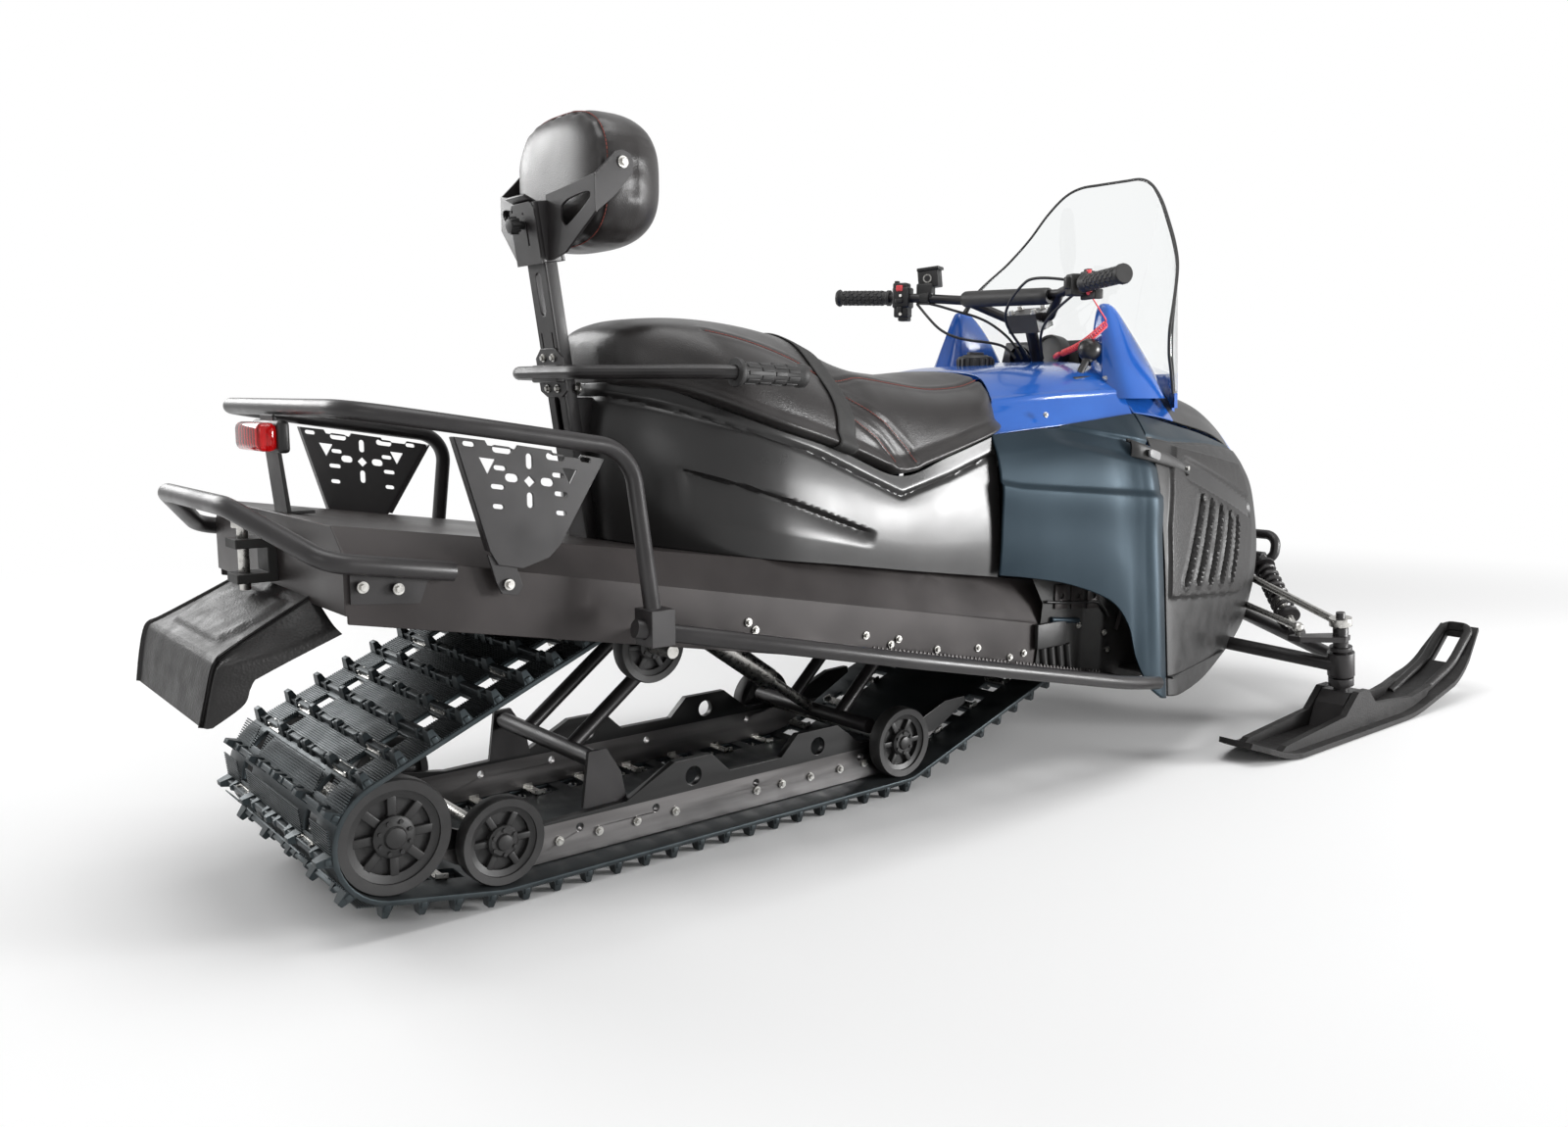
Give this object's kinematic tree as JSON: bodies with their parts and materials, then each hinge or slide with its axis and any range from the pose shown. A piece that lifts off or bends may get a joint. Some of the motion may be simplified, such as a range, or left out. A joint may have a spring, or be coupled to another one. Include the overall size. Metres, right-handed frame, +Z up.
{
  "type": "snowmobile",
  "caption": "Tracked snow vehicle with steerable front skis, handlebar, long seat, adjustable backrest, cargo hoop, tow hook and tall windshield.",
  "frame": {"origin": "centre of the footprint box on the floor plane under the track and skis", "axes": "+X forward, +Y left, +Z up"},
  "size_m": [3.0418, 1.258, 1.3],
  "materials": {
    "bare_alloy": "bare aluminium",
    "black_plastic": "textured black plastic",
    "black_rubber": "moulded rubber",
    "black_steel": "black powder coat",
    "blue_plastic": "gloss blue",
    "casting": "plain block",
    "clear": "clear sheet",
    "dark_alloy": "dark coated sheet",
    "lamp": "clear lens",
    "red_lens": "red lens",
    "vinyl": "black grained vinyl with red-brown stitching",
    "zinc_steel": "zinc plated"
  },
  "bodies": {
    "chassis": {"backrest_post": "black_steel", "belly_pan": "black_plastic", "board_bars": "black_steel", "cargo_hoop": "black_steel", "cargo_panels": "dark_alloy", "console": "blue_plastic", "dash_cowl": "blue_plastic", "drive_axle": "zinc_steel", "engine": "casting", "front_bumper": "black_steel", "front_frame": "black_steel", "front_shocks": "black_steel", "fuel_cap": "black_plastic", "gauge": "black_plastic", "grab_bar": "black_steel", "grab_grips": "black_rubber", "headlight": "lamp", "hitch_pin": "zinc_steel", "hood": "blue_plastic", "nose_panels": "black_plastic", "rear_bumper": "black_steel", "running_boards": "dark_alloy", "seat": "vinyl", "seat_base": "black_plastic", "shift_lever": "black_plastic", "side_panels": "black_plastic", "slide_rails": "bare_alloy", "snow_flap": "black_rubber", "suspension_arms": "black_steel", "taillight": "red_lens", "taillight_bracket": "black_steel", "tow_hook": "black_steel", "track": "black_rubber", "track_damper": "black_steel", "track_wheels": "black_plastic", "tunnel": "dark_alloy", "upper_links": "zinc_steel", "wheel_axles": "zinc_steel", "windshield": "clear", "windshield_seat": "black_plastic", "wishbones": "black_steel"},
    "steering": {"steering_column": "black_steel", "handlebar": "black_steel", "bar_grips": "black_rubber", "bar_pad": "black_plastic", "bar_controls": "black_plastic"},
    "ski_right": {"spindle_right": "black_steel", "ski_right": "black_plastic"},
    "ski_left": {"spindle_left": "black_steel", "ski_left": "black_plastic"},
    "tie_rod_right": {"tie_rod_right": "zinc_steel"},
    "tie_rod_left": {"tie_rod_left": "zinc_steel"},
    "backrest_carriage": {"backrest_carriage": "black_steel"},
    "backrest_pad": {"backrest_pad": "vinyl"}
  },
  "joints": [
    {"name": "steer", "type": "hinge", "parent": "chassis", "child": "steering", "pos_m": [0.3851, 0, 0.955], "axis": [-0.342, 0, 0.9397], "range_deg": [-28, 28]},
    {"name": "ski_turn_right", "type": "hinge", "parent": "chassis", "child": "ski_right", "pos_m": [0.8851, -0.555, 0.07], "axis": [-0.1392, 0, 0.9903], "range_deg": [-28, 28]},
    {"name": "ski_turn_left", "type": "hinge", "parent": "chassis", "child": "ski_left", "pos_m": [0.8851, 0.555, 0.07], "axis": [-0.1392, 0, 0.9903], "range_deg": [-28, 28]},
    {"name": "tie_rod_ball_right", "type": "hinge", "parent": "ski_right", "child": "tie_rod_right", "pos_m": [0.7851, -0.493, 0.22052], "axis": [-0.1392, 0, 0.9903], "range_deg": [-28, 28]},
    {"name": "tie_rod_ball_left", "type": "hinge", "parent": "ski_left", "child": "tie_rod_left", "pos_m": [0.7851, 0.493, 0.22052], "axis": [-0.1392, 0, 0.9903], "range_deg": [-28, 28]},
    {"name": "backrest_height", "type": "slide", "parent": "chassis", "child": "backrest_carriage", "axis": [-0.1452, 0, 0.9894], "range_m": [0, 0.06]},
    {"name": "backrest_tilt", "type": "hinge", "parent": "backrest_carriage", "child": "backrest_pad", "pos_m": [-0.8309, 0, 1.157], "axis": [0, 1, 0], "range_deg": [-15, 4]}
  ],
  "couplings": [
    {"joint": "ski_turn_right", "follows": "steer", "ratio": 1},
    {"joint": "ski_turn_left", "follows": "steer", "ratio": 1},
    {"joint": "tie_rod_ball_right", "follows": "steer", "ratio": -1},
    {"joint": "tie_rod_ball_left", "follows": "steer", "ratio": -1}
  ]
}
